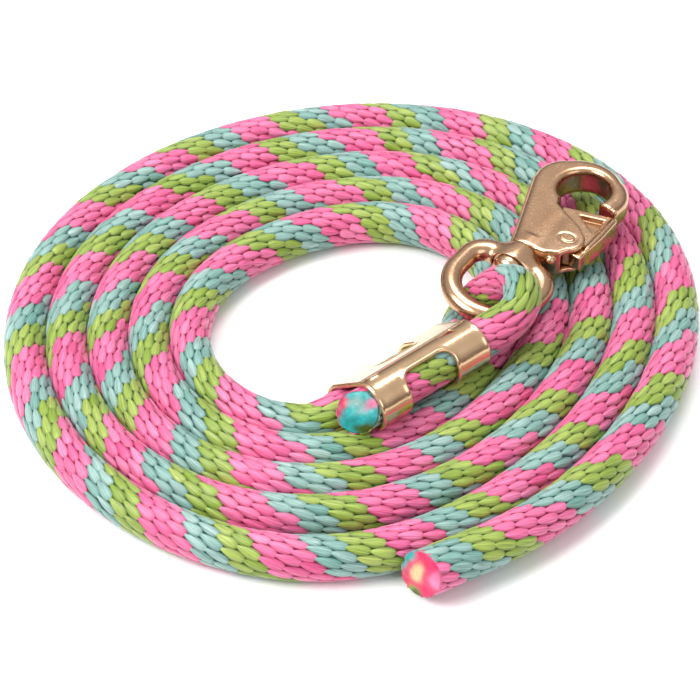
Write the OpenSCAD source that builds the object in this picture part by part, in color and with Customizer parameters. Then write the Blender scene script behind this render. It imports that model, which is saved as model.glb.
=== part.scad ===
// Horse lead rope: a braided rope laid in a flat coil, doubled back through the eye of a
// swivel trigger snap and held by a two-band sheet-metal rope clamp.
// Millimetres, +Z up. The coil rests on z = 0 and the origin is under the middle of the part.

/* [Rope] */
// rope diameter; the whole lead, snap and clamp scale with it
rope_d = 16; // [10:0.5:24]

/* [Clamp] */
// thickness of the clamp's sheet
sheet_t = 1.4; // [1.0:0.1:1.6]
// length of the clamp along the two rope legs
clamp_len = 49; // [46:1:52]
// share of the clamp's length taken by the band at the tail end
band_low = 0.30; // [0.26:0.01:0.34]
// share of the clamp's length taken by the band at the snap end
band_high = 0.33; // [0.28:0.01:0.38]

/* [Snap] */
// thickness of the snap body
body_t = 12; // [11:0.5:12.5]
// radius of the round opening in the hook
hook_r = 9.8; // [9:0.1:9.8]
// diameter of the trigger pin
pin_d = 4; // [3:0.25:4.5]
// thickness of the trigger plate between the cheeks
plate_t = 6.4; // [5.8:0.2:6.6]
// radial clearance of the trigger on its pin and of the shank in the eye
run_gap = 0.06; // [0.03:0.01:0.09]

/* [Swivel] */
// wire diameter of the swivel eye
wire_d = 7.0; // [6.4:0.2:7.0]
// diameter of the swivel shank
shank_d = 6; // [5:0.5:6.5]

/* [Hidden] */
$fn = 64;
base_d = 16;                       // the figures below are for this rope
k = rope_d / base_d;
mid = [-4.3, 1.1];                  // middle of the coil's spiral to the middle of the part

// rope: five turns, counter-clockwise and inward
lay_pitch = 15.3;
lay_start = -70;
lay_r = 125.4;
step_a = 22.5;
coil_rings = 78;
lift_up = 0.8;                     // the free end rides up and out against the turn beside it
lift_out = 2.4;
half_h = 7.8;
leg_r = 7.35;                      // flat-to-flat half width of the rope in the loop
sides = 12;

function spiral_r(t) = lay_r - lay_pitch * t / 360
    + 5.4 * cos(2 * (lay_start + t - 48.6))
    + 1.5 * cos(3 * (lay_start + t - 32.1))
    + 1.25 * (t / 360 - 2.5) * cos(lay_start + t + 108.4)
    + 3.8 * exp(-pow((t - 340) / 25.8, 2));
function rise(t) = exp(-pow(t / 35, 2));
function coil_pt(t) = [
    spiral_r(t) * cos(lay_start + t),
    spiral_r(t) * sin(lay_start + t) - lift_out * rise(t),
    half_h + lift_up * rise(t)];
function gap_at(t) = lay_pitch - 1.25 * cos(lay_start + t + 108.4);
function coil_hw(t) = min(half_h, gap_at(t) * cos(step_a / 2) / 2 - 0.1);

free_pts = [[26, -124.5, 10.5], [33.5, -120.5, 10.5]];
leg_dir = [0.758, 0.652, 0];
leg_low = [1.5, -53, 13.5];        // standing leg where it enters the clamp
leg_apart = [7.75, -9, 9.75];      // from the standing leg to the tail leg
tail_out = 7;
function on_leg(f) = leg_low + leg_dir * clamp_len * f;
loop_pts = [
    [-13, -56, 9], [-6, -56, 11],
    on_leg(0), on_leg(0.15), on_leg(0.5), on_leg(0.85), on_leg(1),
    [42, -14, 12], [44, -7, 11], [48, -1, 15], [53, -1, 21], [57, -4.5, 28],
    [62, -9, 33], [64, -16, 34], [61, -23, 30],
    on_leg(1) + leg_apart, on_leg(0.85) + leg_apart, on_leg(0.5) + leg_apart,
    on_leg(0.15) + leg_apart, on_leg(0) + leg_apart, on_leg(0) + leg_apart - leg_dir * tail_out];

// one list of ring centres and half widths for the whole rope
function spline(p0, p1, p2, p3, t) = 0.5 * (2 * p1 + (p2 - p0) * t
    + (2 * p0 - 5 * p1 + 4 * p2 - p3) * t * t + (3 * p1 - p0 - 3 * p2 + p3) * t * t * t);
coil_c = [for (i = [0:coil_rings]) coil_pt(i * step_a)];
coil_w = [for (i = [0:coil_rings]) coil_hw(i * step_a)];
loop_in = concat([coil_c[coil_rings - 1], coil_c[coil_rings]], loop_pts,
    [loop_pts[len(loop_pts) - 1] - leg_dir * 5]);
loop_c = [for (i = [1:len(loop_in) - 3]) for (j = [0:1])
    spline(loop_in[i - 1], loop_in[i], loop_in[i + 1], loop_in[i + 2], j / 2),
    loop_in[len(loop_in) - 2]];
rope_c = concat(free_pts, coil_c, [for (i = [1:len(loop_c) - 1]) loop_c[i]]);
rope_w = concat([for (q = free_pts) 7.1], coil_w,
    [for (i = [1:len(loop_c) - 1]) i == 1 ? (leg_r + coil_w[coil_rings]) / 2 : leg_r]);
rope_h = [for (i = [0:len(rope_c) - 1])
    i <= len(free_pts) + coil_rings ? half_h : i == len(free_pts) + coil_rings + 1 ? 7.6 : leg_r];
n_free = len(free_pts);
n_coil = n_free + coil_rings;
n_all = len(rope_c) - 1;

function unit(v) = v / norm(v);
function way(i) = unit(rope_c[min(i + 1, n_all)] - rope_c[max(i - 1, 0)]);
function ring_pt(i, j, grow) =
    let (t = way(i), s = unit(cross([0, 0, 1], t)), u = cross(t, s),
         a = (j + 0.5) * 360 / sides, f = 1 / cos(180 / sides))
    rope_c[i] + s * (rope_w[i] + grow) * f * cos(a) + u * (rope_h[i] + grow) * f * sin(a);

// rope between ring a and ring b
module rope(a, b, grow = 0) {
    n = b - a;
    pts = [for (i = [a:b]) for (j = [0:sides - 1]) ring_pt(i, j, grow)];
    walls = [for (i = [0:n - 1]) for (j = [0:sides - 1]) for (h = [0:1])
        let (j2 = (j + 1) % sides)
        h == 0 ? [i * sides + j, (i + 1) * sides + j, (i + 1) * sides + j2]
               : [i * sides + j, (i + 1) * sides + j2, i * sides + j2]];
    first = [[for (j = [0:sides - 1]) j]];
    last = [[for (j = [sides - 1:-1:0]) n * sides + j]];
    polyhedron(points = pts, faces = concat(walls, first, last), convexity = 10);
}

module placed() {
    scale(k) translate([mid[0], mid[1], 0]) children();
}

// clamp: local +X along the legs, +Z from the standing leg towards the tail leg
clamp_r = leg_r / cos(180 / sides) + 0.04;
leg_gap = norm(leg_apart);
lean = atan2(norm([leg_apart[0], leg_apart[1]]), leg_apart[2]);
clamp_turn = atan2(leg_dir[1], leg_dir[0]);
module at_clamp() {
    translate(leg_low) rotate([0, 0, clamp_turn]) rotate([lean, 0, 0]) children();
}
module stadium(r, x0, x1) {
    translate([x0, 0, 0]) rotate([0, 90, 0]) cylinder(h = x1 - x0, r = r);
    translate([x0, 0, leg_gap]) rotate([0, 90, 0]) cylinder(h = x1 - x0, r = r);
    translate([x0, -r, 0]) cube([x1 - x0, 2 * r, leg_gap]);
}
bridge_y = 4.9;                    // the bridge's right edge, measured across the tail leg
bridge_drop = 5.9;                 // how far the bridge's left edge reaches down the flat side
tooth_at = 0.07;
slit_at = 0.71;
module clamp_part() {
    x_lo = clamp_len * band_low;
    x_hi = clamp_len * (1 - band_high);
    out_r = clamp_r + sheet_t;
    difference() {
        stadium(out_r, 0, clamp_len);
        stadium(clamp_r, -1, clamp_len + 1);
        // open middle: everything but the bridge over the tail leg's left side
        translate([x_lo, -out_r - 1, -out_r - 1])
            cube([x_hi - x_lo, 2 * out_r + 2, out_r + 1 + leg_gap - bridge_drop]);
        translate([x_lo, -out_r - 1, leg_gap - bridge_drop - 1])
            cube([x_hi - x_lo, out_r + 1 + bridge_y, out_r + bridge_drop + 2]);
        // butt seam of both bands
        translate([-1, 1, -out_r - 1]) cube([clamp_len + 2, 0.6, out_r]);
        // pierced slit in the wide band
        translate([clamp_len * slit_at, 0, leg_gap]) rotate([-72, 0, 0])
            translate([0, -1, 0]) cube([7, 2, out_r + 2]);
    }
    // raised tooth on the narrow band
    translate([clamp_len * tooth_at, 0, leg_gap]) rotate([-68, 0, 0])
        translate([0, -0.6, clamp_r + 0.3]) cube([4, 1.2, sheet_t + 0.3]);
}

// snap: local +Y runs from the eye to the hook, +X to the trigger's side, +Z out of the face
eye_mid = [55.2, 1, 23.3];
snap_turn = 54.3;
snap_pitch = 2.4;
eye_roll = 7;
bow_r = 15.4;
side_y = 9;
corner_r = 5;
boss_r = 6.4;
boss_y0 = 10.6;
boss_y1 = 19.4;
head_r = 6.2;
play = 0.4;
pivot = [11.7, 30.8];
tip_arc = 23.3;
slot_t = plate_t + 0.6;
hook_c = [2.2, 59];
body_y = boss_y1 + play;
wire_r = wire_d / 2;
module at_snap() {
    translate(eye_mid) rotate([0, 0, snap_turn - 90]) rotate([snap_pitch, 0, 0]) children();
}
module at_pivot() {
    translate([pivot[0], pivot[1], 0]) children();
}
module bar(p, q, r) {
    d = q - p;
    translate(p) rotate([0, 0, atan2(d[1], d[0])]) rotate([0, 90, 0]) cylinder(h = norm(d), r = r);
}
module eye_corner() {
    translate([bow_r - corner_r, side_y, 0])
        rotate_extrude(angle = 90) translate([corner_r, 0]) circle(r = wire_r, $fn = 48);
    bar([bow_r, 0, 0], [bow_r, side_y, 0], wire_r);
    bar([0, side_y + corner_r, 0], [bow_r - corner_r, side_y + corner_r, 0], wire_r);
}

module body_plate(z0, t) {
    translate([0, 0, z0]) {
        // shank end, waist and left flank
        linear_extrude(t) polygon([[6.2, body_y], [-6.2, body_y], [-7.5, 24], [-18.5, 55],
            [-19.1, 60], [-6.6, 60], [0, 50],
            [19, 60], [19, 54.5], [18.2, 50.5], [14, 50], [13, 38.5], [pivot[0] + 5.4, pivot[1] + 3.6],
            [pivot[0] + 3.4, pivot[1] - 5.5], [13.4, 22], [8.6, 19.9]]);
        translate([-6.6, 60, 0]) cylinder(h = t, r = 12.5);
        translate([6.6, 60, 0]) cylinder(h = t, r = 12.5);
        translate([0, 58.5, 0]) cylinder(h = t, r = 17.5);
        at_pivot() cylinder(h = t, r = 6.5);
    }
}

module rope_coil() {
    color("HotPink") placed() difference() {
        rope(n_free, n_coil);
        rope(n_coil, n_all, 0.05);
        at_clamp() stadium(clamp_r + sheet_t + 0.02, -0.02, clamp_len + 0.02);
    }
}
module rope_end() {
    color("DeepPink") placed() rope(0, n_free);
}
module rope_loop() {
    color("YellowGreen") placed() rope(n_coil, n_all);
}
module rope_clamp() {
    color("Goldenrod") placed() at_clamp() clamp_part();
}
module swivel_eye() {
    color("DarkGoldenrod") placed() at_snap() rotate([0, eye_roll, 0]) difference() {
        union() {
            rotate([0, 0, 180]) rotate_extrude(angle = 180) translate([bow_r, 0]) circle(r = wire_r, $fn = 48);
            eye_corner();
            mirror([1, 0, 0]) eye_corner();
            translate([0, boss_y0, 0]) rotate([-90, 0, 0]) cylinder(h = boss_y1 - boss_y0, r = boss_r);
        }
        translate([0, boss_y0 - 5, 0]) rotate([-90, 0, 0]) cylinder(h = 20, r = shank_d / 2 + run_gap);
        translate([0, boss_y0 - 7, 0]) rotate([-90, 0, 0]) cylinder(h = 7, r = head_r + 0.8);
    }
}
module snap_body() {
    color("Peru") placed() at_snap() {
        difference() {
            union() {
                body_plate(-body_t / 2, body_t);
                translate([0, body_y, 0]) rotate([-90, 0, 0]) cylinder(h = 4, r = 6.2);
            }
            // hook opening
            translate([hook_c[0], hook_c[1], -body_t]) cylinder(h = 2 * body_t, r = hook_r);
            // slot the trigger swings in
            intersection() {
                at_pivot() translate([0, 0, -slot_t / 2]) cylinder(h = slot_t, r = tip_arc);
                translate([0, 0, -body_t]) linear_extrude(2 * body_t)
                    polygon([[30, 23.5], [11, 23.5], [-9.6, 36], [-9.6, 42], [-3, 51], [-3, 60], [30, 60]]);
            }
            // open side outside the cheeks
            intersection() {
                at_pivot() translate([0, 0, -body_t]) cylinder(h = 2 * body_t, r = tip_arc);
                translate([0, 0, -body_t]) linear_extrude(2 * body_t)
                    polygon([[-1.5, 46], [-3, 50], [-3, 60], [30, 60], [30, 36.5], [16, 36.5], [14, 38]]);
            }
            // pin holes in both cheeks
            at_pivot() translate([0, 0, -body_t]) cylinder(h = 2 * body_t, d = pin_d);
        }
        // shank and peened head
        translate([0, boss_y0 - play - 1, 0]) rotate([-90, 0, 0])
            cylinder(h = body_y - boss_y0 + play + 2, d = shank_d);
        intersection() {
            translate([0, boss_y0 - play - 4, 0]) rotate([-90, 0, 0]) cylinder(h = 4, r = head_r);
            translate([0, boss_y0 - play + 2.4, 0]) sphere(r = 7.4);
        }
    }
}
module trigger() {
    color("SandyBrown") placed() at_snap() difference() {
        union() {
            at_pivot() translate([0, 0, -plate_t / 2]) cylinder(h = plate_t, r = 5);
            translate([0, 0, -plate_t / 2]) linear_extrude(plate_t)
                polygon([[7.2, 29], [-0.6, 48], [15.3, 51.2], [18.6, 52.3], [20, 50.5], [20, 26], [14, 27]]);
            // thumb bar, proud of both cheeks' inner faces
            translate([0, 0, -body_t * 0.44]) linear_extrude(body_t * 0.88)
                polygon([[18.9, 26.5], [18.9, 50.6], [20.4, 52], [22, 50.4], [22.4, 40], [21.8, 26.5]]);
        }
        // triangular recess in each face
        for (m = [0, 1]) mirror([0, 0, m]) translate([0, 0, plate_t / 2 - 1.4]) linear_extrude(3)
            polygon([[8, 46.8], [16.6, 48.8], [16.6, 41]]);
        // pin bore
        at_pivot() translate([0, 0, -body_t]) cylinder(h = 2 * body_t, r = pin_d / 2 + run_gap);
        // pocket for the spring
        at_pivot() translate([0, 0, 0.4]) cylinder(h = body_t, r = spring_r + 0.9);
        translate([pivot[0] - 1, pivot[1] - 12, 0.4]) cube([6, 12, body_t]);
    }
}
module trigger_pin() {
    color("Sienna") placed() at_snap() at_pivot() translate([0, 0, -body_t / 2])
        cylinder(h = body_t, d = pin_d);
}

// torsion spring: wound round the pin, one leg held against the slot's end wall
spring_r = 3.1;
spring_wire = 0.7;
spring_turns = 2.5;
spring_step = 15;
spring_rise = 0.78;
function spring_pt(a) = [spring_r * cos(a), spring_r * sin(a), 0.9 + spring_rise * a / 360];
spring_c = concat(
    [for (a = [0:spring_step:360 * spring_turns]) spring_pt(a)]);
module trigger_spring() {
    n = len(spring_c) - 1;
    s = 8;
    function dir(i) = unit(spring_c[min(i + 1, n)] - spring_c[max(i - 1, 0)]);
    pts = [for (i = [0:n]) for (j = [0:s - 1])
        let (t = dir(i), q = unit(cross([0, 0, 1], t)), u = cross(t, q), a = j * 360 / s)
        spring_c[i] + spring_wire / 2 * (q * cos(a) + u * sin(a))];
    walls = [for (i = [0:n - 1]) for (j = [0:s - 1]) for (h = [0:1])
        let (j2 = (j + 1) % s)
        h == 0 ? [i * s + j, (i + 1) * s + j, (i + 1) * s + j2]
               : [i * s + j, (i + 1) * s + j2, i * s + j2]];
    caps = [[for (j = [0:s - 1]) j], [for (j = [s - 1:-1:0]) n * s + j]];
    color("Silver") placed() at_snap() at_pivot()
        polyhedron(points = pts, faces = concat(walls, caps), convexity = 6);
}

rope_coil();
rope_end();
rope_loop();
rope_clamp();
swivel_eye();
snap_body();
trigger();
trigger_pin();
trigger_spring();
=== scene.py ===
"""Horse lead rope: camera, rope, hardware, materials and light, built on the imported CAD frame."""
import math

import bpy
import numpy as np
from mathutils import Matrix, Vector


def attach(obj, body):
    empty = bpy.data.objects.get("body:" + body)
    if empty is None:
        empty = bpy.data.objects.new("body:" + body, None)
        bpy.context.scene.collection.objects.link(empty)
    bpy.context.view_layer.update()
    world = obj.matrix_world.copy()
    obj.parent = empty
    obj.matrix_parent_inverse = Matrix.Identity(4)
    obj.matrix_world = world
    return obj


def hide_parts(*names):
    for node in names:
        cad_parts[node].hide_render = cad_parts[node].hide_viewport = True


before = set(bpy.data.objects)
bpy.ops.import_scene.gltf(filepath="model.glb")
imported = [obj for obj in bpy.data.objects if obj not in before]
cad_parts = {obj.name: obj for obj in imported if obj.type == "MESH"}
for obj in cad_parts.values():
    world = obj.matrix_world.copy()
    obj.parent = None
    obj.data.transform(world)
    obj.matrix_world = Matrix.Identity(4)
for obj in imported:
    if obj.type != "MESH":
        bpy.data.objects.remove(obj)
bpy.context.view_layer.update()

MM = 0.001
rng = np.random.RandomState(11)

# ---------------------------------------------------------------- camera
LOOK_AT = Vector((-0.0007, -0.0159, 0.008))
CAMERA_ELEVATION = math.radians(42.5)
CAMERA_DISTANCE = 0.690
LENS, SENSOR = 99.3, 36.0

camera = bpy.data.objects.new("camera", bpy.data.cameras.new("camera"))
bpy.context.scene.collection.objects.link(camera)
camera.data.lens = LENS
camera.data.sensor_width = SENSOR
camera.data.clip_start = 0.01
camera.location = LOOK_AT + CAMERA_DISTANCE * Vector(
    (0, -math.cos(CAMERA_ELEVATION), math.sin(CAMERA_ELEVATION))
)
camera.rotation_euler = (math.pi / 2 - CAMERA_ELEVATION, 0, 0)
bpy.context.scene.camera = camera


# ---------------------------------------------------------------- small helpers
def unit(v):
    return v / np.linalg.norm(v, axis=-1, keepdims=True)


def about(axis, degrees):
    """Rotation matrix about x, y or z."""
    c, s = math.cos(math.radians(degrees)), math.sin(math.radians(degrees))
    i, j = {"x": (1, 2), "y": (2, 0), "z": (0, 1)}[axis]
    m = np.eye(3)
    m[i, i], m[i, j], m[j, i], m[j, j] = c, -s, s, c
    return m


def through(points, steps):
    """Catmull-Rom curve; the first and last points only guide it."""
    p = np.array(points, float)
    t = np.arange(steps)[:, None] / steps
    out = []
    for p0, p1, p2, p3 in zip(p[:-3], p[1:-2], p[2:-1], p[3:]):
        out.append(
            0.5
            * (
                2 * p1
                + (p2 - p0) * t
                + (2 * p0 - 5 * p1 + 4 * p2 - p3) * t**2
                + (3 * p1 - p0 - 3 * p2 + p3) * t**3
            )
        )
    return np.vstack(out + [p[-2:-1]])


def mesh_piece(name, verts, faces, material, body, uv=None, tone=None, normals=None):
    """A smooth-shaded mesh riding a body. faces is an array of quads or triangles."""
    me = bpy.data.meshes.new(name)
    verts, faces = np.asarray(verts, np.float32), np.asarray(faces, np.int32)
    n, k = faces.shape
    me.vertices.add(len(verts))
    me.vertices.foreach_set("co", verts.ravel())
    me.loops.add(n * k)
    me.loops.foreach_set("vertex_index", faces.ravel())
    me.polygons.add(n)
    me.polygons.foreach_set("loop_start", np.arange(n, dtype=np.int32) * k)
    me.update(calc_edges=True)
    me.polygons.foreach_set("use_smooth", np.ones(n, bool))
    if uv is not None:
        layer = me.uv_layers.new(name="strand")
        layer.data.foreach_set("uv", np.asarray(uv, np.float32)[faces.ravel()].ravel())
    if tone is not None:
        layer = me.color_attributes.new(name="tone", type="FLOAT_COLOR", domain="POINT")
        rgba = np.c_[tone, np.ones(len(tone))].astype(np.float32)
        layer.data.foreach_set("color", rgba.ravel())
    me.update()
    if normals is not None:
        me.normals_split_custom_set_from_vertices(np.asarray(normals, np.float32))
    me.materials.append(material)
    obj = bpy.data.objects.new(name, me)
    bpy.context.scene.collection.objects.link(obj)
    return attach(obj, body) or obj


# ---------------------------------------------------------------- materials
def linear(r, g, b):
    """Screen colour, 0 to 255, as the linear colour a shader takes."""
    c = np.array([r, g, b]) / 255
    c = np.where(c <= 0.04045, c / 12.92, ((c + 0.055) / 1.055) ** 2.4)
    return (*[float(x) for x in c], 1.0)


class Nodes:
    """A material with a Principled shader, and short ways to add nodes to it."""

    def __init__(self, name, **sockets):
        self.material = bpy.data.materials.new(name)
        self.material.use_nodes = True
        self.tree = self.material.node_tree
        self.shader = self.tree.nodes["Principled BSDF"]
        for key, value in sockets.items():
            self.shader.inputs[key.replace("_", " ")].default_value = value

    def add(self, kind, values=(), **settings):
        node = self.tree.nodes.new("ShaderNode" + kind)
        for key, value in settings.items():
            setattr(node, key, value)
        for key, value in dict(values).items():
            node.inputs[key].default_value = value
        return node

    def link(self, out, into):
        self.tree.links.new(out, into)

    def mix(self, factor, a, b, blend="MIX"):
        """Mixes two colours; each input is a socket or a value."""
        node = self.add("Mix", data_type="RGBA", blend_type=blend)
        for socket, value in zip((node.inputs[0], node.inputs[6], node.inputs[7]), (factor, a, b)):
            if isinstance(value, bpy.types.NodeSocket):
                self.link(value, socket)
            else:
                socket.default_value = value
        return node.outputs[2]

    def ramp(self, factor, stops):
        node = self.add("ValToRGB")
        ramp = node.color_ramp
        while len(ramp.elements) < len(stops):
            ramp.elements.new(0.5)
        for element, (place, colour) in zip(ramp.elements, stops):
            element.position = place
            element.color = colour
        self.link(factor, node.inputs[0])
        return node.outputs[0]

    def bump(self, height, strength, distance, below=None):
        node = self.add("Bump", {"Strength": strength, "Distance": distance})
        self.link(height, node.inputs["Height"])
        if below is not None:
            self.link(below, node.inputs["Normal"])
        return node.outputs["Normal"]


def grey(v):
    return (v, v, v, 1.0)


def yarn_material(name, pale, full, deep):
    """Shiny braided yarn: fine filaments along each stitch, with painted sheen streaks along them, a tone
    for each stitch, and painted shade deeper at its edges.
    """
    m = Nodes(name, Roughness=0.38, Sheen_Weight=0.3, Sheen_Roughness=0.35)
    m.shader.inputs["Specular IOR Level"].default_value = 0.42
    tone = m.add("VertexColor", layer_name="tone")
    parts = m.add("SeparateColor")
    m.link(tone.outputs["Color"], parts.inputs[0])
    uv = m.add("UVMap", uv_map="strand")
    stretch = m.add("Mapping", {"Scale": (0.13, 2.6, 1.0)})
    m.link(uv.outputs[0], stretch.inputs["Vector"])
    fibre = m.add("TexNoise", {"Scale": 1.0, "Detail": 3.0, "Roughness": 0.55})
    m.link(stretch.outputs[0], fibre.inputs["Vector"])
    each = m.mix(parts.outputs[0], full, pale)
    # painted shade: the rim share mixes the stitch's colour towards the deep colour
    edge = m.mix(parts.outputs[1], each, deep)
    # filament grain, partly painted sheen: the colour is darkened and brightened past its own in streaks
    # along each stitch
    grain_and_sheen_streaks = m.ramp(fibre.outputs[0], [(0.36, grey(0.62)), (0.64, grey(1.1))])
    m.link(m.mix(1.0, edge, grain_and_sheen_streaks, "MULTIPLY"), m.shader.inputs["Base Color"])
    m.link(m.bump(fibre.outputs[0], 0.6, 0.0004), m.shader.inputs["Normal"])
    return m.material


def tone_material(name, roughness, bump_scale, bump_depth):
    """Colour from the piece's tone attribute, which for the rope's heart is painted shade, with a lumpy fine
    bump.
    """
    m = Nodes(name, Roughness=roughness)
    m.shader.inputs["Specular IOR Level"].default_value = 0.35
    tone = m.add("VertexColor", layer_name="tone")
    place = m.add("TexCoord")
    noise = m.add("TexNoise", {"Scale": bump_scale, "Detail": 4.0, "Roughness": 0.6})
    m.link(place.outputs["Object"], noise.inputs["Vector"])
    shade = m.ramp(noise.outputs[0], [(0.3, grey(0.72)), (0.7, grey(1.0))])
    m.link(m.mix(1.0, tone.outputs["Color"], shade, "MULTIPLY"), m.shader.inputs["Base Color"])
    m.link(m.bump(noise.outputs[0], 0.5, bump_depth), m.shader.inputs["Normal"])
    return m.material


def metal_material(name, light, dark, roughness, polish=0.05, scratch=0.05):
    """Plated metal: slow colour drift, faint tumbling marks and softly uneven polish."""
    m = Nodes(name, Metallic=1.0)
    place = m.add("TexCoord")
    drift = m.add("TexNoise", {"Scale": 60.0, "Detail": 3.0, "Roughness": 0.5})
    m.link(place.outputs["Object"], drift.inputs["Vector"])
    m.link(m.ramp(drift.outputs[0], [(0.32, dark), (0.66, light)]), m.shader.inputs["Base Color"])
    marks = m.add("TexNoise", {"Scale": 900.0, "Detail": 4.0, "Roughness": 0.65})
    m.link(place.outputs["Object"], marks.inputs["Vector"])
    rough = m.add(
        "MapRange",
        {"From Min": 0.3, "From Max": 0.7, "To Min": roughness - polish, "To Max": roughness + polish},
    )
    m.link(marks.outputs[0], rough.inputs["Value"])
    m.link(rough.outputs[0], m.shader.inputs["Roughness"])
    m.link(m.bump(marks.outputs[0], scratch, 0.00003), m.shader.inputs["Normal"])
    return m.material


PINK = linear(214, 78, 132), linear(238, 136, 176), linear(158, 26, 74)
AQUA = linear(104, 152, 142), linear(166, 192, 186), linear(46, 100, 92)
LIME = linear(122, 150, 42), linear(172, 188, 98), linear(66, 92, 18)
yarns = {
    "pink": yarn_material("yarn_pink", PINK[1], PINK[0], PINK[2]),
    "aqua": yarn_material("yarn_aqua", AQUA[1], AQUA[0], AQUA[2]),
    "lime": yarn_material("yarn_lime", LIME[1], LIME[0], LIME[2]),
}
core_material = tone_material("rope_heart", 0.7, 900.0, 0.0004)
melt_material = tone_material("melted_rope", 0.34, 420.0, 0.0012)
brass = metal_material("rose_brass", linear(204, 166, 134), linear(186, 147, 115), 0.24)
sheet_brass = metal_material("clamp_brass", linear(234, 198, 160), linear(218, 180, 142), 0.19)
steel = metal_material("spring_steel", linear(190, 188, 184), linear(150, 148, 145), 0.3)

# ---------------------------------------------------------------- rope: its line
MID = np.array([-4.3, 1.1, 0.0])  # from the spiral's middle to the part's
ROPE_R = 8.0
FREE_R, LEG_R = 7.7, 7.35  # half width at the free end and in the loop
CLAMP_LEN = 49.0

# the coil: five turns, counter-clockwise and inward, that aren't quite round
LAY_START, LAY_END, LAY_PITCH, LAY_R = -70, 1755, 15.3, 125.4
OVAL, OVAL_AT = 5.4, 48.6  # millimetres out, and the direction of the crest in degrees
CORNERED, CORNERED_AT = 1.5, 32.1
LEAN, LEAN_AT, MIDDLE_TURN = 1.25, -108.4, 2.5  # for each turn away from the middle one
BULGE, BULGE_AT, BULGE_REACH = 3.8, 340, 25.8  # as the first turn comes round to the free end
LIFT, LIFT_OUT, LIFT_REACH = 2.2, 1.09, 35  # the free end rides up and out on the turn beside it
INTERLOCK = 0.25  # how far each turn's stitches reach past the middle of the gap

# the route outside the coil
leg_low = np.array([1.5, -53.0, 13.5])
leg_dir = np.array([0.758, 0.652, 0.0])
leg_apart = np.array([7.75, -9.0, 9.75])
TAIL_OUT = 7.0


def wave(degrees):
    return np.cos(np.radians(degrees))


def coil_point(t):
    t = np.asarray(t, float)
    a = LAY_START + t
    r = LAY_R - LAY_PITCH * t / 360
    r = r + OVAL * wave(2 * (a - OVAL_AT)) + CORNERED * wave(3 * (a - CORNERED_AT))
    r = r + LEAN * (t / 360 - MIDDLE_TURN) * wave(a - LEAN_AT)
    r = r + BULGE * np.exp(-(((t - BULGE_AT) / BULGE_REACH) ** 2))
    rise = LIFT * np.exp(-((t / LIFT_REACH) ** 2))
    return np.stack([r * wave(a), r * wave(a - 90) - LIFT_OUT * rise, ROPE_R + rise], -1)


def coil_half_width(t):
    gap = LAY_PITCH - LEAN * wave(LAY_START + np.asarray(t, float) - LEAN_AT)
    return np.minimum(ROPE_R, gap / 2 + INTERLOCK)


def on_leg(f):
    return leg_low + leg_dir * CLAMP_LEN * f


free_points = [(26, -124.5, 10.5), (33.5, -120.5, 10.5)]
loop_points = [(-13, -56, 9), (-6, -56, 11)]
loop_points += [on_leg(f) for f in (0, 0.15, 0.5, 0.85, 1)]
loop_points += [(42, -14, 12), (44, -7, 11), (48, -1, 15), (53, -1, 21), (57, -4.5, 28)]
loop_points += [(62, -9, 33), (64, -16, 34), (61, -23, 30)]
loop_points += [on_leg(f) + leg_apart for f in (1, 0.85, 0.5, 0.15, 0)]
loop_points += [on_leg(0) + leg_apart - leg_dir * TAIL_OUT]

SPAN_STEPS = 16
HEAD_GUIDE, TAIL_GUIDE = 5, 6  # degrees of coil past each join that guide the curve
turns = np.arange(0, LAY_END + 1.0)
f0, f1 = np.array(free_points, float)
head = through([2 * f0 - f1, f0, f1, coil_point(0), coil_point(HEAD_GUIDE)], SPAN_STEPS)[:-1]
coil_end = [coil_point(LAY_END - TAIL_GUIDE), coil_point(LAY_END)]
past_tail = loop_points[-1] - leg_dir * 5
tail = through(coil_end + loop_points + [past_tail], SPAN_STEPS)[1:]
rough_line = np.vstack([head, coil_point(turns), tail])
rough_wide = np.r_[np.full(len(head), FREE_R), coil_half_width(turns), np.full(len(tail), LEG_R)]
rough_high = np.r_[np.full(len(head) + len(turns), ROPE_R), np.full(len(tail), LEG_R)]


def arc_length(line):
    return np.r_[0, np.cumsum(np.linalg.norm(np.diff(line, axis=0), axis=1))]


def eased(values, reach):
    """Gaussian smoothing along the line; the ends stay where they are."""
    n = int(3 * reach)
    kernel = np.exp(-0.5 * (np.arange(-n, n + 1) / reach) ** 2)
    kernel /= kernel.sum()
    v = values.reshape(len(values), -1)
    lead = 2 * v[:1] - v[n:0:-1]
    trail = 2 * v[-1:] - v[-2 : -n - 2 : -1]
    padded = np.vstack([lead, v, trail])
    out = np.stack([np.convolve(padded[:, i], kernel, "valid") for i in range(v.shape[1])], 1)
    return out.reshape(values.shape)


STEP = 1.0
LINE_EASE, WIDTH_EASE, BEND_EASE = 2.5, 8, 4  # reach of the smoothing, in steps
rough_arc = arc_length(rough_line)
free_length = rough_arc[len(head)]
along = np.linspace(0, rough_arc[-1], int(rough_arc[-1] / STEP) + 1)
line = np.stack([np.interp(along, rough_arc, rough_line[:, i]) for i in range(3)], 1)
line = eased(line, LINE_EASE) + MID
half_wide = eased(np.interp(along, rough_arc, rough_wide), WIDTH_EASE)
half_high = eased(np.interp(along, rough_arc, rough_high), WIDTH_EASE)
s_line = arc_length(line) - free_length

# a frame carried along the line without twisting
tangent = unit(np.gradient(line, axis=0))
up = np.zeros_like(line)
last = np.array([0.0, 0.0, 1.0])
for i, t in enumerate(tangent):
    last = last - t * (last @ t)
    last /= np.linalg.norm(last)
    up[i] = last
side = np.cross(up, tangent)

# the rope flattens across a tight bend and spreads a little square to it
BENT_FROM, FLATTEN, FLATTEST = 0.03, 2.6, 0.2
SPREAD = 0.35
curl = eased(np.gradient(tangent, axis=0), BEND_EASE)
bent = np.linalg.norm(curl, axis=1)
bend_way = curl / np.maximum(bent, 1e-9)[:, None]
press = np.clip(FLATTEN * (bent - BENT_FROM), 0, FLATTEST)

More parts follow.
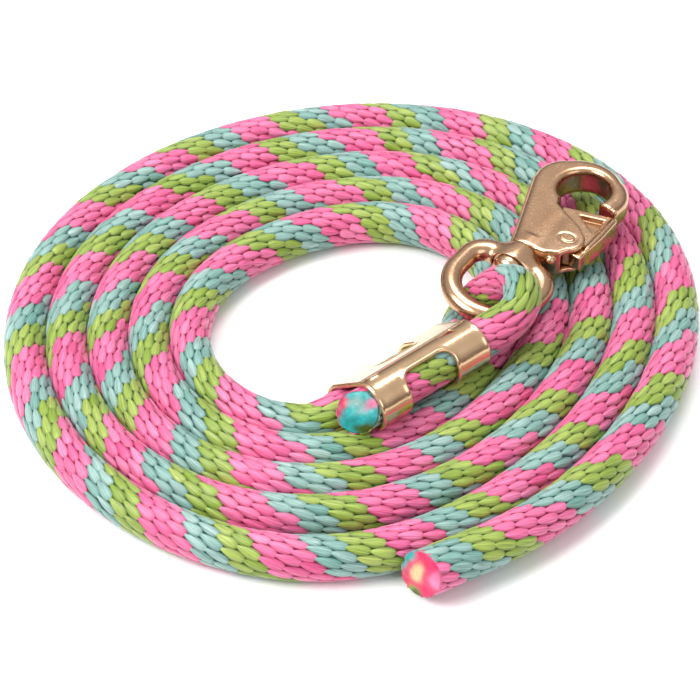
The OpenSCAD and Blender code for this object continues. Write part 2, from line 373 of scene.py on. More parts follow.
# both ends are cut on a slant: its slope, the way the face leans, and how far the end is cut back
CUTS = {0: (0.45, (0.0, -0.74, 0.68), 0.0), -1: (0.62, (-0.1, -0.74, 0.68), 3.0)}


def cut_lean(end):
    """Unit direction, square to the rope, that the cut face leans towards, and its slope."""
    slope, way, _cut_back = CUTS[end]
    way = np.array(way)
    return unit(way - tangent[end] * (way @ tangent[end])), slope


def on_rope(s, phi, share):
    """Points on the rope: s along it, phi degrees from the top towards the inside, share of its radius."""
    s = np.asarray(s, float)
    for end, pick in ((0, np.maximum), (-1, np.minimum)):
        way, slope = cut_lean(end)
        rise = share * half_high[end] * wave(phi) * (up[end] @ way)
        rise = rise + share * half_wide[end] * wave(phi - 90) * (side[end] @ way)
        s = pick(s, s_line[end] + (1 if end == 0 else -1) * (slope * rise + CUTS[end][2]))
    on = np.clip(s, s_line[0], s_line[-1])
    past = (s - on)[..., None] * np.where((s < 0)[..., None], tangent[0], tangent[-1])

    def at(values):
        return np.interp(on, s_line, values)

    c, n = wave(phi) * share * at(half_high), wave(phi - 90) * share * at(half_wide)
    off = np.stack([at(up[:, i]) * c + at(side[:, i]) * n for i in range(3)], -1)
    inward = np.stack([at(bend_way[:, i]) for i in range(3)], -1)
    inward = inward * (off * inward).sum(-1, keepdims=True)
    flat = at(press)[..., None]
    off = off * (1 + SPREAD * flat) - inward * (1 + SPREAD) * flat
    points = np.stack([at(line[:, i]) for i in range(3)], -1) + off + past
    points[..., 2] = np.maximum(points[..., 2], 0)
    return points


# ---------------------------------------------------------------- rope: its colours
COLUMNS = 14
STITCH_STEP = 7.38  # from one stitch to the next in its column
COLUMN_TWIST = -2.6  # degrees per millimetre
REPEAT = 44.7  # one whole set of colour bands
BANDS = (("pink", 3 / 7), ("aqua", 5 / 7), ("lime", 1.0))
# the lay loosens and tightens along the rope, so the bands drift slowly to and fro
DRIFT_START = -12.0  # millimetres at the free end; puts pink beside the cut
DRIFT_SLOW, SLOW_EVERY, SLOW_CREST = 9.0, 1100.0, 850.0
DRIFT_QUICK, QUICK_EVERY = 2.5, 390.0


def drift(s):
    slow = DRIFT_SLOW * wave(360 * (s - SLOW_CREST) / SLOW_EVERY)
    return DRIFT_START + slow + DRIFT_QUICK * wave(360 * s / QUICK_EVERY)


def band_place(s, phi):
    """Place in the set of colour bands, 0 to 1."""
    return ((s + drift(s)) / REPEAT + phi / 360) % 1.0


def band_of(place):
    return np.searchsorted([end for _, end in BANDS], place, side="right").clip(0, 2)


# ---------------------------------------------------------------- rope: heart and stitches
HEART = 0.918  # share of the rope's radius
HEART_SIDES = 28
HEART_STEP = 2.5
HEART_PAST = 5, 6  # beyond each end, where the cut then limits it
# painted shade: the heart, seen between the stitches, takes each band's deep colour darkened further,
# standing in for the shade down in the braid
HEART_PAINTED_SHADE = 0.55
heart_from, heart_to = s_line[0] - HEART_PAST[0], s_line[-1] + HEART_PAST[1]
ring_s = np.linspace(heart_from, heart_to, int(len(along) / HEART_STEP))
ring_phi = np.arange(HEART_SIDES) * 360 / HEART_SIDES
grid_s, grid_phi = np.meshgrid(ring_s, ring_phi, indexing="ij")
heart = on_rope(grid_s, grid_phi, HEART).reshape(-1, 3)
n_rings = len(ring_s)
i, j = np.meshgrid(np.arange(n_rings - 1), np.arange(HEART_SIDES), indexing="ij")
here, ahead = i * HEART_SIDES, (i + 1) * HEART_SIDES
j2 = (j + 1) % HEART_SIDES
walls = np.stack([here + j, ahead + j, ahead + j2, here + j2], -1).reshape(-1, 4)
deep = np.array([PINK[2][:3], AQUA[2][:3], LIME[2][:3]])
heart_painted_shade = deep[band_of(band_place(grid_s, grid_phi)).ravel()] * HEART_PAINTED_SHADE
rope_core = mesh_piece("rope_heart", heart * MM, walls, core_material, "rope", tone=heart_painted_shade)
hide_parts("rope_coil", "rope_end", "rope_loop")

STITCH_LEN, STITCH_WIDE = 9.6, 4.2
ALONG, ACROSS = 9, 5  # points of one stitch's patch
SUNK, CREST = 0.93, 1.0  # a stitch's rim and crown, as shares of the rope's radius
LONG_CROWN, CROSS_CROWN = 5, 4  # how flat the crown is each way
# painted shade: each stitch darkens towards its rim, where the grooves between stitches fall in shade
RIM_SHADE_DARKNESS, EDGE_NARROW = 0.7, 2.4
WIDEST = 0.22  # where a stitch is widest, towards its rounder end
POINTED, ROUNDED = (1.6, 0.95), (2.5, 0.55)
NARROWEST = 0.06
STAGGER = 5  # stitch steps from a column to itself, once round the rope
OVERHANG = 3.0
EARLY, SPARE = 3, 12  # extra steps at the start and in all, before the overhang is trimmed
CLEAR_OF_BANDS = 0.01  # keeps stitches off the exact edge of a band
UNEVEN = {"length": 0.025, "width": 0.05, "tilt": 0.035, "crest": 0.006, "place": 0.2}
PALE, PALE_VARIES = 0.4, 0.16
tilt = math.atan2(-math.radians(COLUMN_TWIST) * ROPE_R, 1.0)

# one stitch: u along it and v across, -1 to 1
u = np.linspace(-1, 1, ALONG)
v = np.linspace(-1, 1, ACROSS)
rear = (1 - np.clip((WIDEST - u) / (1 + WIDEST), 0, 1) ** POINTED[0]) ** POINTED[1]
front = (1 - np.clip((u - WIDEST) / (1 - WIDEST), 0, 1) ** ROUNDED[0]) ** ROUNDED[1]
plan = np.maximum(np.where(u < WIDEST, rear, front), NARROWEST)
crown = (1 - np.abs(u[:, None]) ** LONG_CROWN) * (1 - np.abs(v[None, :]) ** CROSS_CROWN)
rim_painted_shade = RIM_SHADE_DARKNESS * (1 - crown) ** EDGE_NARROW
quad_i, quad_j = np.meshgrid(np.arange(ALONG - 1), np.arange(ACROSS - 1), indexing="ij")
here, ahead = quad_i * ACROSS + quad_j, (quad_i + 1) * ACROSS + quad_j
patch = np.stack([here, ahead, ahead + 1, here + 1], -1).reshape(-1, 4)


def stitch_places():
    """For each colour, (s, phi) of its stitches."""
    places = {name: [] for name, _ in BANDS}
    count = int((s_line[-1] - s_line[0]) / STITCH_STEP) + SPARE
    first = int(s_line[0] / STITCH_STEP) - EARLY
    for column in range(COLUMNS):
        s = (first + np.arange(count) - STAGGER * column / COLUMNS) * STITCH_STEP + CLEAR_OF_BANDS
        s = s[(s > s_line[0] - OVERHANG) & (s < s_line[-1] + OVERHANG)]
        phi = column * 360 / COLUMNS + COLUMN_TWIST * s
        colour = band_of(band_place(s, phi))
        for k in range(len(s)):
            places[BANDS[colour[k]][0]].append((s[k], phi[k]))
    return places


def each(values):
    """One value for each stitch, ready to spread over its patch."""
    return values[:, None, None]


def yarn_piece(name, where):
    """All the stitches of one colour."""
    n = len(where)
    jitter = rng.normal(size=(n, 5))
    length = STITCH_LEN / 2 * (1 + UNEVEN["length"] * jitter[:, 0])
    width = STITCH_WIDE / 2 * (1 + UNEVEN["width"] * jitter[:, 1])
    lean = tilt + UNEVEN["tilt"] * jitter[:, 2]
    crest = CREST + UNEVEN["crest"] * jitter[:, 3]
    across = v[None, None, :] * plan[None, :, None]
    a, b = np.broadcast_arrays(u[None, :, None] * each(length), across * each(width))
    c, d = each(np.cos(lean)), each(np.sin(lean))
    s = each(where[:, 0]) + UNEVEN["place"] * each(jitter[:, 4]) + a * c + b * d
    phi = each(where[:, 1]) + np.degrees((-a * d + b * c) / ROPE_R)
    share = SUNK + (each(crest) - SUNK) * crown[None]
    verts = on_rope(s, phi, np.broadcast_to(share, s.shape)).reshape(-1, 3)
    faces = (patch[None] + each(np.arange(n) * ALONG * ACROSS)).reshape(-1, 4)
    start = rng.uniform(0, 200, size=(n, 2))
    uv = np.stack([a + each(start[:, 0]), b + each(start[:, 1])], -1).reshape(-1, 2)
    # the tone's red is a random pale share for each stitch; its green is the painted shade at the stitch's
    # rim
    shade = np.clip(PALE + PALE_VARIES * rng.normal(size=n), 0, 1)
    tones = np.broadcast_arrays(each(shade), rim_painted_shade[None], np.zeros(s.shape))
    tone = np.stack(tones, -1).reshape(-1, 3)
    return mesh_piece("rope_yarn_" + name, verts * MM, faces, yarns[name], "rope", uv=uv, tone=tone)


for name, where in stitch_places().items():
    yarn_piece(name, np.array(where))


# ---------------------------------------------------------------- rope: melted cut faces
CUT_SHARE = 0.985  # of the rope's radius
CUT_DOME, CUT_LUMPS, RIM_TUCK = 1.1, 0.45, 0.9  # millimetres out of the cut, and back at its rim
RIM_WAVES = 0.03
BLOTCH_WAVES, BLOTCH_SHARP = 0.16, 14
WELL_PAST = 20  # any distance past the end, which the cut then limits


def lumps(x, y, seed, scale):
    """Smooth uneven field, about -1 to 1."""
    r = np.random.RandomState(seed)
    total = 0
    for _ in range(9):
        a, p, f = r.uniform(0, 2 * math.pi, 2).tolist() + [scale * r.uniform(0.5, 1.9)]
        total = total + np.cos(f * (x * math.cos(a) + y * math.sin(a)) + p)
    return total / 4.0


def cut_face(name, at_start, blotches, ground, seed):
    """The fused end of the rope: blotches are (angle, radius share, reach, colour)."""
    rings, around = 20, 84
    r = (np.arange(rings + 1) / rings)[:, None]
    a = (np.arange(around) * 360 / around)[None, :]
    x, y = r * wave(a), r * wave(a - 90)
    rim = 1 + RIM_WAVES * lumps(x * 3, y * 3, seed, 2.0)
    share = r * CUT_SHARE * np.where(r > 0.9, rim, 1.0)
    out = CUT_DOME * (1 - r**3) + CUT_LUMPS * lumps(x, y, seed + 1, 5.0) * (1 - r**4)
    out = out - RIM_TUCK * (r > 0.97)
    end = 0 if at_start else -1
    s_end = s_line[end] + (-WELL_PAST if at_start else WELL_PAST)
    lean, slope = cut_lean(end)
    way = unit((-tangent[0] if at_start else tangent[-1]) + slope * lean)
    base = on_rope(np.full(share.shape, s_end), np.broadcast_to(a, share.shape), share)
    verts = (base + out[..., None] * way).reshape(-1, 3)
    colour = np.broadcast_to(np.array(ground[:3]), (rings + 1, around, 3)).copy()
    wobble = BLOTCH_WAVES * lumps(x, y, seed + 2, 6.0)
    for angle, radius, reach, tint in blotches:
        cx, cy = radius * wave(angle), radius * wave(angle - 90)
        near = np.hypot(x - cx, y - cy) + wobble
        amount = (1 / (1 + np.exp((near - reach) * BLOTCH_SHARP)))[..., None]
        colour = colour * (1 - amount) + np.array(tint[:3]) * amount
    faces = []
    for ring in range(rings):
        inner, outer = ring * around, (ring + 1) * around
        for k in range(around):
            k2 = (k + 1) % around
            q = [inner + k, outer + k, outer + k2, inner + k2]
            faces.append(q[::-1] if at_start else q)
    piece = mesh_piece(name, verts * MM, faces, melt_material, "rope", tone=colour.reshape(-1, 3))
    return piece or piece


cream, hot, teal = linear(235, 190, 140), linear(225, 40, 95), linear(40, 165, 165)
free_cut = cut_face(
    "rope_cut_free",
    True,
    [
        (40, 0.1, 0.34, cream),
        (60, 0.95, 0.3, teal),
        (95, 0.9, 0.3, teal),
        (180, 0.95, 0.34, LIME[0]),
        (200, 0.9, 0.2, LIME[2]),
        (280, 0.7, 0.3, PINK[1]),
    ],
    hot,
    3,
)
tail_cut = cut_face(
    "rope_cut_tail",
    False,
    [
        (300, 0.95, 0.28, hot),
        (340, 0.98, 0.24, hot),
        (180, 0.95, 0.42, LIME[2]),
        (90, 0.8, 0.3, PINK[1]),
        (30, 0.5, 0.28, AQUA[1]),
    ],
    teal,
    8,
)


# ---------------------------------------------------------------- hardware: solids from distance fields
def polygon_distance(x, y, points):
    """Signed distance to a polygon, negative inside."""
    p = np.array(points, float)
    best = np.full(np.broadcast(x, y).shape, np.inf)
    flip = np.ones(best.shape)
    for k in range(len(p)):
        a, b = p[k], p[k - 1]
        ex, ey = b - a
        wx, wy = x - a[0], y - a[1]
        h = np.clip((wx * ex + wy * ey) / (ex * ex + ey * ey), 0, 1)
        best = np.minimum(best, (wx - ex * h) ** 2 + (wy - ey * h) ** 2)
        c1, c2, c3 = y >= a[1], y < b[1], ex * wy > ey * wx
        flip = np.where((c1 & c2 & c3) | (~c1 & ~c2 & ~c3), -flip, flip)
    return flip * np.sqrt(best)


def line_distance(x, y, points):
    """Distance to an open line of points."""
    p = np.array(points, float)
    best = np.full(np.broadcast(x, y).shape, np.inf)
    for a, b in zip(p[:-1], p[1:]):
        ex, ey = b - a
        h = np.clip(((x - a[0]) * ex + (y - a[1]) * ey) / (ex * ex + ey * ey), 0, 1)
        best = np.minimum(best, np.hypot(x - a[0] - ex * h, y - a[1] - ey * h))
    return best


def soft_min(a, b, k):
    h = np.clip(0.5 + 0.5 * (b - a) / k, 0, 1)
    return b + (a - b) * h - k * h * (1 - h)


def soft_max(a, b, k):
    return -soft_min(-a, -b, k)


def true_distance(f, x, y):
    """The signed distance to the zero line of a field on a flat grid, with its corners eased."""
    cross = []
    for axis in (0, 1):
        a = f[:-1] if axis == 0 else f[:, :-1]
        b = f[1:] if axis == 0 else f[:, 1:]
        hit = (a < 0) != (b < 0)
        share = a[hit] / (a[hit] - b[hit])
        i, j = np.nonzero(hit)
        step = x[1, 0] - x[0, 0]
        at_x = x[i, 0] + step * share * (axis == 0)
        at_y = y[0, j] + step * share * (axis == 1)
        cross.append(np.stack([at_x, at_y], 1))
    cross = np.vstack(cross)
    gx, gy = np.broadcast_arrays(x, y)
    near = np.full(f.shape, np.inf)
    for part in np.array_split(cross, max(1, len(cross) // 60)):
        d = (gx[..., None] - part[:, 0]) ** 2 + (gy[..., None] - part[:, 1]) ** 2
        near = np.minimum(near, d.min(-1))
    return blur(np.where(f < 0, -1, 1) * np.sqrt(near), 2)


def blur(f, passes):
    for _ in range(passes):
        for axis in range(f.ndim):
            g = np.swapaxes(f, 0, axis)
            h = g.copy()
            h[1:-1] = 0.25 * g[:-2] + 0.5 * g[1:-1] + 0.25 * g[2:]
            f = np.swapaxes(h, 0, axis)
    return f


def plate(flat, z, half, edge):
    """A flat shape given thickness, with its edges rounded by edge."""
    a, b = flat + edge, np.abs(z) - (half - edge)
    return np.hypot(np.maximum(a, 0), np.maximum(b, 0)) + np.minimum(np.maximum(a, b), 0) - edge


def solid(name, field, low, high, cell, axes, at, material, body, passes=1):
    """A closed mesh on the zero level of field(x, y, z), in a local frame in millimetres."""
    ticks = [np.arange(a, b + cell, cell) for a, b in zip(low, high)]
    f = field(ticks[0][:, None, None], ticks[1][None, :, None], ticks[2][None, None, :])
    f = blur(np.ascontiguousarray(f, dtype=float), passes)
    f[[0, -1]] = f[:, [0, -1]] = f[:, :, [0, -1]] = 1.0
    inside = f < 0
    shape = np.array(f.shape) - 1
    offsets = [np.array(o) for o in np.ndindex(2, 2, 2)]

    def corner(a, o):
        return a[o[0] : o[0] + shape[0], o[1] : o[1] + shape[1], o[2] : o[2] + shape[2]]

    filled = sum(corner(inside, o).astype(np.int8) for o in offsets)
    cells = np.argwhere((filled > 0) & (filled < 8))
    number = np.full(shape, -1, np.int64)
    number[tuple(cells.T)] = np.arange(len(cells))
    total, hits = np.zeros((len(cells), 3)), np.zeros(len(cells))
    for o in offsets:
        for axis in range(3):
            if o[axis]:
                continue
            o2 = o.copy()
            o2[axis] = 1
            fa, fb = f[tuple((cells + o).T)], f[tuple((cells + o2).T)]
            hit = (fa < 0) != (fb < 0)
            share = np.where(hit, fa / np.where(hit, fa - fb, 1), 0)
            point = o + (o2 - o) * share[:, None]
            total += np.where(hit[:, None], point, 0)
            hits += hit
    place = cells + total / hits[:, None]
    quads = []
    for axis in range(3):
        b, c = [(1, 2), (2, 0), (0, 1)][axis]
        one = np.zeros(3, int)
        one[axis] = 1
        core = inside[: shape[0], : shape[1], : shape[2]]
        ahead = corner(inside, one)
        hit = np.argwhere(core != ahead)
        hit = hit[(hit[:, b] > 0) & (hit[:, c] > 0)]
        turn = core[tuple(hit.T)]
        eb, ec = np.zeros(3, int), np.zeros(3, int)
        eb[b], ec[c] = 1, 1
        ring = [number[tuple((hit - d).T)] for d in (eb + ec, ec, np.zeros(3, int), eb)]
        q = np.stack(ring, 1)
        quads.append(np.where(turn[:, None], q, q[:, ::-1]))
    quads = np.vstack(quads)
    slope = np.stack(np.gradient(f), -1)
    base = np.floor(place).astype(int).clip(0, shape - 1)
    frac = place - base
    normal = np.zeros(place.shape)
    for o in offsets:
        w = np.prod(np.where(o, frac, 1 - frac), axis=1)
        normal += w[:, None] * slope[tuple((base + o).T)]
    local = np.array(low) + place * cell
    verts = (local @ axes.T + at) * MM
    return mesh_piece(name, verts, quads, material, body, normals=unit(normal) @ axes.T)


# the snap's frame: +Y runs from the eye to the hook, +X to the trigger's side, +Z out of its face
SNAP_TURN, SNAP_PITCH, EYE_ROLL = 54.3, 2.4, 7
SNAP_AT = np.array([55.2, 1.0, 23.3]) + MID
SNAP_AXES = about("z", SNAP_TURN - 90) @ about("x", SNAP_PITCH)
EYE_AXES = SNAP_AXES @ about("y", EYE_ROLL)

# the clamp's frame: +X runs along the legs, +Z from the standing leg towards the tail leg
CLAMP_AT = leg_low + MID
CLAMP_LEAN = math.degrees(math.atan2(math.hypot(*leg_apart[:2]), leg_apart[2]))
CLAMP_AXES = about("z", math.degrees(math.atan2(leg_dir[1], leg_dir[0]))) @ about("x", CLAMP_LEAN)
LEG_GAP = float(np.linalg.norm(leg_apart))

BODY_HALF, SLOT_HALF, PLATE_HALF, THUMB_HALF = 6.0, 3.5, 3.2, 4.9
PIVOT, PIN_R, RUN_GAP = (11.7, 30.8), 2.0, 0.06
HOOK, HOOK_R = (2.2, 59.0), 9.8
TIP_ARC = 23.3  # the trigger's reach from its pivot
CHEEK_R = 6.5

# outlines: the flat face, and a broader one whose edges are rounded far in and cut off by the first
FLANK = [(-7.5, 24), (-18.5, 55), (-19.1, 60), (-6.6, 60), (0, 50), (19, 60), (19, 54.5)]
CHEEK = [(18.2, 50.5), (14, 50), (13, 38.5), (17.1, 34.4), (15.1, 25.3), (13.4, 22), (8.6, 19.9)]
BODY_OUTLINE = [(6.2, 19.8), (-6.2, 19.8)] + FLANK + CHEEK
BROAD_OUTLINE = [(6.2, 12), (-4.4, 12), (-6.2, 19.8)] + FLANK + [(19, 52), (30, 48), (30, 12)]
HOOK_ROUNDS = [((-6.6, 60), 12.5), ((6.6, 60), 12.5), ((0, 58.5), 17.5)]
BROAD_EDGE, BODY_EDGE = 4.4, 1.1
VALLEY, VALLEY_WIDE, VALLEY_DEEP = [(4, 46), (4.6, 32), (6.0, 18)], 2.8, 0.35
NECK_R, NECK_AT, NECK_HALF = 6.0, 22.3, 2.5
SLOT_OUTLINE = [(30, 23.5), (11, 23.5), (-9.6, 36), (-9.6, 42), (-3, 51), (-3, 60), (30, 60)]
OPEN_SIDE = [(-1.5, 46), (-3, 50), (-3, 60), (30, 60), (30, 36.5), (16, 36.5), (14, 38)]
BEADS = [(17.9, 54.2, 4.4, 1.1), (15.4, 54.6, 4.8, 0.9), (11.0, 20.6, 2.0, 1.8)]  # cast beads: x, y, z, r

PLATE_OUTLINE = [(7.2, 29), (-0.6, 48), (16.2, 52.2), (18.3, 52.8), (20, 50.9), (20, 26), (14, 27)]
THUMB_OUTLINE = [(18.7, 31), (18.7, 50.8), (20, 52), (21.2, 50.4), (21.4, 40), (20.8, 32), (19.8, 30)]
RECESS = [(7.6, 46.9), (17.0, 49.3), (17.0, 40.6)]


def away(x, y, point):
    """Distance from a point in the flat."""
    return np.hypot(x - point[0], y - point[1])


def prism(flat):
    """A flat field made ready to run through the whole depth."""
    return flat[:, :, None]


def body_field(x, y, z):
    fx, fy = x[:, :, 0], y[:, :, 0]
    sweep = away(fx, fy, PIVOT) - TIP_ARC
    rounds = [away(fx, fy, middle) - r for middle, r in HOOK_ROUNDS]
    broad = np.minimum.reduce(rounds + [polygon_distance(fx, fy, BROAD_OUTLINE)])
    broad = prism(true_distance(broad, fx, fy))
    cheek = away(fx, fy, PIVOT) - CHEEK_R
    whole = np.minimum.reduce(rounds + [polygon_distance(fx, fy, BODY_OUTLINE), cheek])
    whole = prism(true_distance(whole, fx, fy))
    valley = prism(line_distance(fx, fy, VALLEY))
    dip = VALLEY_DEEP * np.exp(-((valley / VALLEY_WIDE) ** 2)) * (z > 0)
    body = soft_max(plate(broad, z + dip, BODY_HALF, BROAD_EDGE), plate(whole, z, BODY_HALF, BODY_EDGE), 0.6)
    neck = np.maximum(np.hypot(x, z) - NECK_R, np.abs(y - NECK_AT) - NECK_HALF)
    body = soft_min(body, neck, 1.2)
    body = soft_max(body, prism(HOOK_R - away(fx, fy, HOOK)), 2.6)
    open_side = np.maximum(sweep, polygon_distance(fx, fy, OPEN_SIDE))
    body = soft_max(body, -prism(open_side), 0.9)
    slot = prism(np.maximum(sweep, polygon_distance(fx, fy, SLOT_OUTLINE)))
    body = soft_max(body, -np.maximum(slot, np.abs(z) - SLOT_HALF), 0.7)
    # oval groove round the rivet, in both faces
    oval = prism(np.hypot((fx - PIVOT[0]) / 1.4, fy - PIVOT[1]))
    groove = np.minimum(0.2 - np.abs(oval - 2.4), np.abs(z) - (BODY_HALF - 0.6))
    body = soft_max(body, groove, 0.15)
    beads = [np.sqrt((x - bx) ** 2 + (y - by) ** 2 + (z - bz) ** 2) - r for bx, by, bz, r in BEADS]
    return soft_min(body, np.minimum.reduce(np.broadcast_arrays(*beads)), 0.4)


HEAD_R, HEAD_AT, HEAD_HALF = 6.2, 8.2, 2.0
HEAD_DOME, HEAD_DOME_AT = 7.4, 12.6
SHANK_R = 3.0


def stud_field(x, y, z):
    """The shank through the eye, and its peened head."""
    r = np.hypot(x, z)
    barrel = np.maximum(r - HEAD_R, np.abs(y - HEAD_AT) - HEAD_HALF)
    head = soft_max(barrel, np.sqrt(r**2 + (y - HEAD_DOME_AT) ** 2) - HEAD_DOME, 0.8)
    shank = np.maximum(r - SHANK_R, np.abs(y - 14.5) - 6.0)
    return np.minimum(head, shank)


WIRE_R, BOW_R = 3.5, 15.4
CORNER_R, SIDE_Y = 8.5, 5.7  # the ring's shoulders, and where they start
BOSS_R, BOSS_AT, BOSS_HALF = 6.4, 15.0, 4.4


def eye_field(x, y, z):
    """The ring: a half round bow, straight sides and shoulders that swell into the boss."""
    fx, fy = x[:, :, 0], y[:, :, 0]
    bow = [(BOW_R * wave(t), BOW_R * wave(t - 90)) for t in np.linspace(180, 360, 41)]
    right = [
        (BOW_R - CORNER_R + CORNER_R * wave(t), SIDE_Y + CORNER_R * wave(t - 90))
        for t in np.linspace(0, 90, 13)
    ]
    left = [(-px, py) for px, py in right[::-1]]
    ring = prism(line_distance(fx, fy, bow + right + left + bow[:1]))
    heavy = prism(0.5 + 0.5 * np.exp(-(((fy - BOSS_AT) / 6.0) ** 2)))
    ring = np.hypot(ring * WIRE_R / (WIRE_R + heavy), z * WIRE_R / (WIRE_R + 0.3 * heavy)) - WIRE_R
    r = np.hypot(x, z)
    boss = soft_max(r - BOSS_R, np.abs(y - BOSS_AT) - BOSS_HALF, 0.8)
    eye = soft_min(ring, boss, 4.0)
    head_room = np.maximum(r - (HEAD_R + 0.8), np.abs(y - 7.1) - 3.5)
    eye = soft_max(eye, -head_room, 0.6)
    return np.maximum(eye, np.minimum(SHANK_R + RUN_GAP - r, y - 5.0))


RECESS_FLOOR, RECESS_FALL, RECESS_FROM = 1.5, 0.06, 41
POCKET_R, POCKET_FROM = 4.0, 0.4  # round room for the spring


def trigger_field(x, y, z):
    fx, fy = x[:, :, 0], y[:, :, 0]
    from_pivot = away(fx, fy, PIVOT)
    flat = np.minimum(polygon_distance(fx, fy, PLATE_OUTLINE), from_pivot - 5.0)
    blade = plate(prism(true_distance(flat, fx, fy)), z, PLATE_HALF, 0.7)
    thumb = plate(prism(polygon_distance(fx, fy, THUMB_OUTLINE)), z, THUMB_HALF, 1.7)
    both = soft_min(blade, thumb, 0.8)
    recess = prism(polygon_distance(fx, fy, RECESS))
    recess_floor = RECESS_FLOOR - RECESS_FALL * (y - RECESS_FROM)
    both = soft_max(both, -np.maximum(recess, recess_floor - np.abs(z)), 0.4)
    bore = PIN_R + RUN_GAP - prism(from_pivot)
    pocket = np.maximum(prism(from_pivot) - POCKET_R, POCKET_FROM - z)
    return np.maximum(np.maximum(both, bore), -pocket)


def pin_field(x, y, z):
    """The trigger's rivet, with its ends upset to ovals."""
    grow = np.clip((np.abs(z) - 5.0) / 0.6, 0, 1)
    r = np.hypot((x - PIVOT[0]) / (1 + 0.4 * grow), y - PIVOT[1])
    return soft_max(r - (PIN_R + 0.12 * grow), np.abs(z) - (BODY_HALF + 0.12), 0.5)


SHEET = 1.4
CLAMP_R = LEG_R / wave(15) + 0.04
BRIDGE_RIGHT, BRIDGE_DROP = 4.9, 5.9  # the bridge's right edge, and its left edge down the flat side
# the windows left and right of the bridge: where each starts and ends along the clamp, and its corners
RIGHT_WINDOW, LEFT_WINDOW = (0.265, 0.695, 4.2), (0.315, 0.66, 3.4)
SLIT_AT, SLIT_TURN = 0.71, 72
SLIT_HALF, SLIT_TAPER = 1.15, 6.5
TOOTH_AT, TOOTH_TURN, TOOTH_LEN = 0.07, 68, 4.0
TOOTH_UP, TOOTH_R = 0.35, 0.75
SEAM_AT, SEAM_HALF = 1.3, 0.3


def rounded_box(a, b, r):
    """Field of a rectangle whose sides are at a = 0 and b = 0, with corners of radius r."""
    a, b = a + r, b + r
    return np.hypot(np.maximum(a, 0), np.maximum(b, 0)) + np.minimum(np.maximum(a, b), 0) - r


def clamp_field(x, y, z):
    middle = CLAMP_R + SHEET / 2
    around = np.hypot(y, z - np.clip(z, 0, LEG_GAP))
    # distance round the sheet from the crest of the tail leg, positive on the left
    over = middle * np.arctan2(np.abs(y), z - LEG_GAP)
    beside = middle * math.pi / 2 + (LEG_GAP - z)
    under = middle * math.pi / 2 + LEG_GAP + middle * np.arctan2(-z, np.abs(y))
    walk = np.where(z >= LEG_GAP, over, np.where(z > 0, beside, under)) * np.where(y < 0, -1, 1)

    def window(shares, w0, w1):
        x0, x1 = shares[0] * CLAMP_LEN, shares[1] * CLAMP_LEN
        a = np.abs(x - (x0 + x1) / 2) - (x1 - x0) / 2
        b = np.abs(walk - (w0 + w1) / 2) - (w1 - w0) / 2
        return rounded_box(a, b, shares[2])

    far = middle * math.pi + LEG_GAP + 6  # past the seam
    bridge_right = middle * math.asin(BRIDGE_RIGHT / middle)
    bridge_left = middle * math.pi / 2 + BRIDGE_DROP
    right = window(RIGHT_WINDOW, -far, bridge_right)
    left = window(LEFT_WINDOW, bridge_left, far)
    ends = np.abs(x - CLAMP_LEN / 2) - CLAMP_LEN / 2
    edge = np.maximum(np.maximum(ends, -right), -left)
    # the sheet swells slightly along its cut edges
    roll = 0.28 * np.exp(-(((edge + 0.6) / 0.8) ** 2))
    clamp = soft_max(np.abs(around - middle) - SHEET / 2 - roll * 0.6, edge, 0.5)
    slit_from = SLIT_AT * CLAMP_LEN
    opening = SLIT_HALF * np.clip((x - slit_from) / SLIT_TAPER, 0, 1)
    slit_side = np.abs(walk - middle * math.radians(SLIT_TURN)) - opening
    clamp = soft_max(clamp, -np.maximum(slit_side, np.abs(x - slit_from - 3.2) - 3.4), 0.3)
    clamp = np.maximum(clamp, -np.maximum(np.abs(y - SEAM_AT) - SEAM_HALF, z))
    tooth_mid = TOOTH_AT * CLAMP_LEN + TOOTH_LEN / 2
    tooth_end = np.maximum(np.abs(x - tooth_mid) - 1.3, 0)
    tooth_side = walk - middle * math.radians(TOOTH_TURN)
    tooth = np.sqrt(tooth_end**2 + tooth_side**2 + (around - middle - TOOTH_UP) ** 2) - TOOTH_R
    return soft_min(clamp, tooth, 0.5)


# ---------------------------------------------------------------- hardware: pieces
def snap_part(name, field, low, high, cell, body, axes=SNAP_AXES):
    return solid(name, field, low, high, cell, axes, SNAP_AT, brass, body)


eye_piece = snap_part("swivel_ring", eye_field, (-22, -21.5, -8.5), (22, 21, 8.5), 0.36, "eye", EYE_AXES)
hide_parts("swivel_eye")

body_piece = snap_part("snap_shell", body_field, (-21, 18.5, -7.2), (22, 78, 7.2), 0.36, "snap")
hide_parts("snap_body")

stud_piece = snap_part("swivel_stud", stud_field, (-7, 4, -7), (7, 22, 7), 0.24, "snap")

trigger_piece = snap_part("trigger_plate", trigger_field, (-3, 24, -6.5), (24, 54.5, 6.5), 0.28, "trigger")
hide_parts("trigger")

pin_piece = snap_part("trigger_rivet", pin_field, (8, 27, -7), (16, 35, 7), 0.2, "snap")
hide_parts("trigger_pin")

clamp_low, clamp_high = (-1.5, -11, -11), (50.5, 11, 27)
clamp_piece = solid(
    "clamp_sheet", clamp_field, clamp_low, clamp_high, 0.3, CLAMP_AXES, CLAMP_AT, sheet_brass, "rope"
)
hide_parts("rope_clamp")

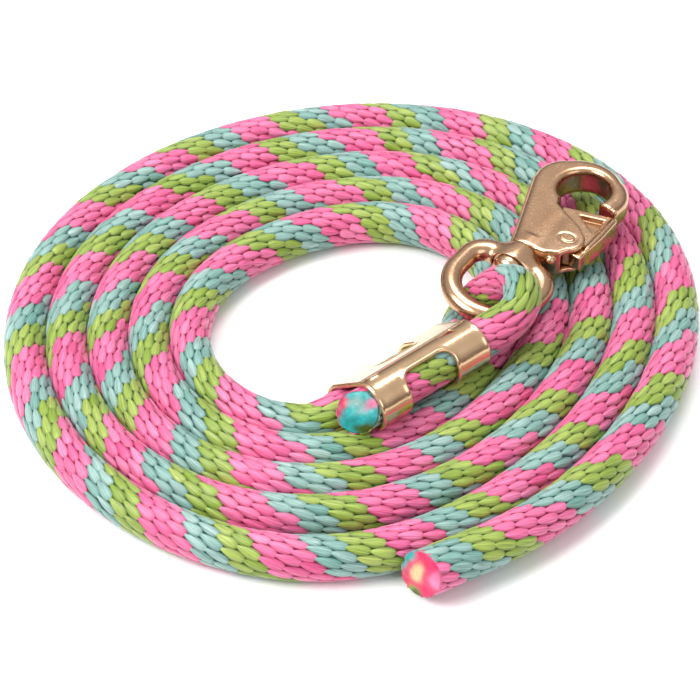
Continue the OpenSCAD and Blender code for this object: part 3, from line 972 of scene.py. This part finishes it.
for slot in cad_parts["trigger_spring"].material_slots:
    slot.material = steel

# ---------------------------------------------------------------- floor and light
FLOOR, BELOW = 3.0, -0.0003
floor_mesh = bpy.data.meshes.new("floor")
corners = [(-FLOOR, -FLOOR), (FLOOR, -FLOOR), (FLOOR, FLOOR), (-FLOOR, FLOOR)]
floor_mesh.from_pydata([(*corner, BELOW) for corner in corners], [], [(0, 1, 2, 3)])
floor = bpy.data.objects.new("floor", floor_mesh)
bpy.context.scene.collection.objects.link(floor)
paper = Nodes("paper", Roughness=0.9)
paper.shader.inputs["Base Color"].default_value = grey(0.92)
floor_mesh.materials.append(paper.material)


def softbox(name, place, size, power, colour=(1, 1, 1)):
    data = bpy.data.lights.new(name, "AREA")
    data.shape = "RECTANGLE"
    data.size, data.size_y = size
    data.energy = power
    data.color = colour
    lamp = bpy.data.objects.new(name, data)
    lamp.location = place
    lamp.rotation_euler = (LOOK_AT - Vector(place)).to_track_quat("-Z", "Y").to_euler()
    bpy.context.scene.collection.objects.link(lamp)


softbox("key", (-0.85, -0.35, 1.0), (0.7, 0.7), 18)
softbox("fill", (0.9, -0.9, 0.9), (1.0, 0.8), 5)
softbox("top", (0.0, 0.5, 1.4), (0.8, 0.8), 14)



def studio_world():
    """A warm dark horizon that pales upwards, for the metal to reflect."""
    world = bpy.data.worlds.new("studio")
    world.use_nodes = True
    sky = world.node_tree
    place = sky.nodes.new("ShaderNodeTexCoord")
    split = sky.nodes.new("ShaderNodeSeparateXYZ")
    ramp = sky.nodes.new("ShaderNodeValToRGB")
    sky.links.new(place.outputs["Generated"], split.inputs[0])
    sky.links.new(split.outputs[2], ramp.inputs[0])
    stops = [(0.05, (0.16, 0.13, 0.12, 1)), (0.6, (0.72, 0.72, 0.72, 1))]
    for element, (height, colour) in zip(ramp.color_ramp.elements, stops):
        element.position = height
        element.color = colour
    sky.links.new(ramp.outputs[0], sky.nodes["Background"].inputs[0])
    return world


bpy.context.scene.world = studio_world()
bpy.context.scene.view_settings.view_transform = "Standard"
